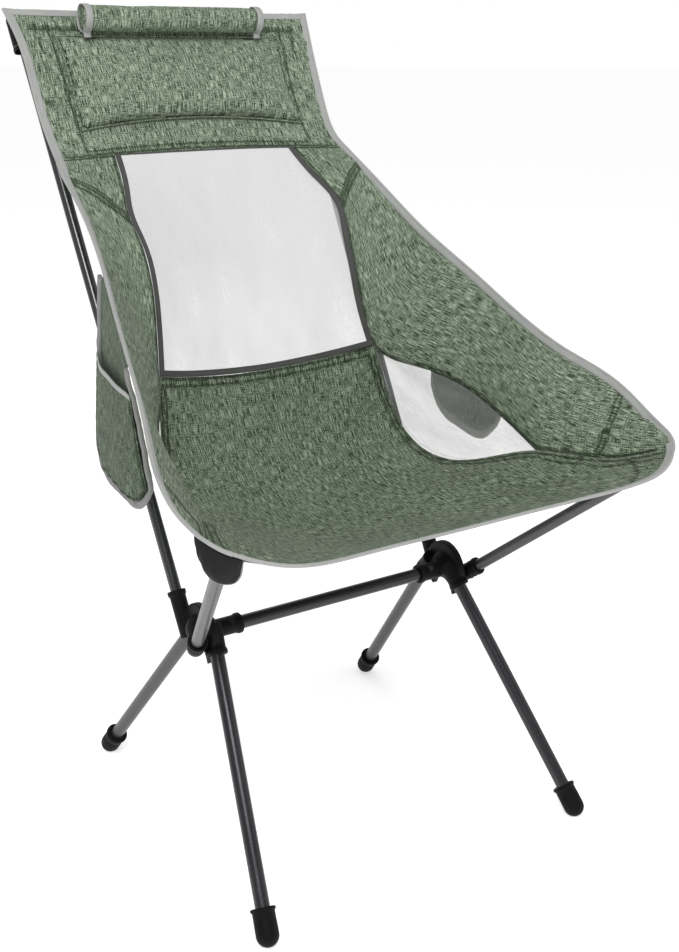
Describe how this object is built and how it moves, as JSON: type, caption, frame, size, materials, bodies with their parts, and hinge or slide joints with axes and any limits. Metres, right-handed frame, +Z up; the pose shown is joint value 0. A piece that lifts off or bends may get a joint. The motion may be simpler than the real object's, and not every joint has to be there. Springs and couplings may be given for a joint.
{
  "type": "ultralight backpacking chair",
  "caption": "High-back packable camping chair: fabric sling with mesh panels stretched over a shock-corded aluminium pole frame with splayed legs, a padded headrest and side pockets.",
  "frame": {"origin": "on the floor under the middle of the chair's box", "axes": "+Z up, the sitter faces -Y, +X is the sitter's left"},
  "size_m": [0.618, 0.7483, 0.9768],
  "materials": {
    "dark_anodised_aluminium": "satin",
    "grey_anodised_aluminium": "satin",
    "moulded_nylon": "fine grain",
    "rubber": "matte",
    "steel": "satin",
    "green_polyester": "melange weave",
    "grey_binding": "ribbed tape",
    "charcoal_tape": "ribbed tape",
    "pale_mesh": "fine net",
    "black_webbing": "webbing",
    "shock_cord": "braided"
  },
  "bodies": {
    "frame_and_seat": {"bag_loops": "grey_binding", "crossbar_rivets": "steel", "crossbar_tube": "dark_anodised_aluminium", "front_binding": "grey_binding", "front_corner_pocket_left": "black_webbing", "front_corner_pocket_right": "black_webbing", "front_leg_cord_left": "shock_cord", "front_leg_cord_right": "shock_cord", "front_pole_tip_left": "moulded_nylon", "front_pole_tip_right": "moulded_nylon", "front_upper_pole_left": "grey_anodised_aluminium", "front_upper_pole_right": "grey_anodised_aluminium", "headrest_panel": "green_polyester", "headrest_pillow": "green_polyester", "hub_left": "moulded_nylon", "hub_right": "moulded_nylon", "mesh_window_panel": "pale_mesh", "pole_cords": "shock_cord", "rear_corner_pocket_left": "black_webbing", "rear_corner_pocket_right": "black_webbing", "rear_leg_cord_left": "shock_cord", "rear_leg_cord_right": "shock_cord", "rear_pole_ferrules": "grey_anodised_aluminium", "rear_pole_lower_left": "grey_anodised_aluminium", "rear_pole_lower_right": "grey_anodised_aluminium", "rear_pole_middle_left": "grey_anodised_aluminium", "rear_pole_middle_right": "grey_anodised_aluminium", "rear_pole_tip_left": "moulded_nylon", "rear_pole_tip_right": "moulded_nylon", "rear_pole_upper_left": "grey_anodised_aluminium", "rear_pole_upper_right": "grey_anodised_aluminium", "seat_panel": "green_polyester", "shoulder_panel_left": "green_polyester", "shoulder_panel_right": "green_polyester", "side_binding_left": "grey_binding", "side_binding_right": "grey_binding", "side_mesh_left": "pale_mesh", "side_mesh_right": "pale_mesh", "top_binding": "grey_binding", "window_tape": "charcoal_tape", "wing_panel_left": "green_polyester", "wing_panel_right": "green_polyester"},
    "front_leg_left": {"front_leg_tube_left": "dark_anodised_aluminium", "front_leg_foot_left": "rubber", "front_leg_cord_stop_left": "moulded_nylon"},
    "front_leg_right": {"front_leg_tube_right": "dark_anodised_aluminium", "front_leg_foot_right": "rubber", "front_leg_cord_stop_right": "moulded_nylon"},
    "rear_leg_left": {"rear_leg_tube_left": "grey_anodised_aluminium", "rear_leg_foot_left": "rubber", "rear_leg_cord_stop_left": "moulded_nylon"},
    "rear_leg_right": {"rear_leg_tube_right": "grey_anodised_aluminium", "rear_leg_foot_right": "rubber", "rear_leg_cord_stop_right": "moulded_nylon"},
    "pocket_left": {"side_pocket_left": "green_polyester", "pocket_binding_left": "grey_binding"},
    "pocket_right": {"side_pocket_right": "green_polyester", "pocket_binding_right": "grey_binding"},
    "bag": {"rolled_bag": "green_polyester"}
  },
  "joints": [
    {"name": "front_leg_pull_left", "type": "slide", "parent": "frame_and_seat", "child": "front_leg_left", "axis": [0.1454, -0.6084, -0.7802], "range_m": [0, 0.045], "stiffness_N_per_m": 200, "springref_m": -0.03, "deforming": ["front_leg_cord_left"]},
    {"name": "front_leg_pull_right", "type": "slide", "parent": "frame_and_seat", "child": "front_leg_right", "axis": [-0.1454, -0.6084, -0.7802], "range_m": [0, 0.045], "stiffness_N_per_m": 200, "springref_m": -0.03, "deforming": ["front_leg_cord_right"]},
    {"name": "rear_leg_pull_left", "type": "slide", "parent": "frame_and_seat", "child": "rear_leg_left", "axis": [0.1216, 0.6222, -0.7734], "range_m": [0, 0.045], "stiffness_N_per_m": 200, "springref_m": -0.03, "deforming": ["rear_leg_cord_left"]},
    {"name": "rear_leg_pull_right", "type": "slide", "parent": "frame_and_seat", "child": "rear_leg_right", "axis": [-0.1216, 0.6222, -0.7734], "range_m": [0, 0.045], "stiffness_N_per_m": 200, "springref_m": -0.03, "deforming": ["rear_leg_cord_right"]},
    {"name": "pocket_swing_left", "type": "hinge", "parent": "frame_and_seat", "child": "pocket_left", "pos_m": [0.249, -0.0155, 0.645], "axis": [0.1969, -0.8531, -0.4832], "range_deg": [0, 35]},
    {"name": "pocket_swing_right", "type": "hinge", "parent": "frame_and_seat", "child": "pocket_right", "pos_m": [-0.249, -0.0155, 0.645], "axis": [0.1969, 0.8531, 0.4832], "range_deg": [0, 35]},
    {"name": "bag_slide", "type": "slide", "parent": "frame_and_seat", "child": "bag", "axis": [1, 0, 0], "range_m": [0, 0.055]}
  ]
}
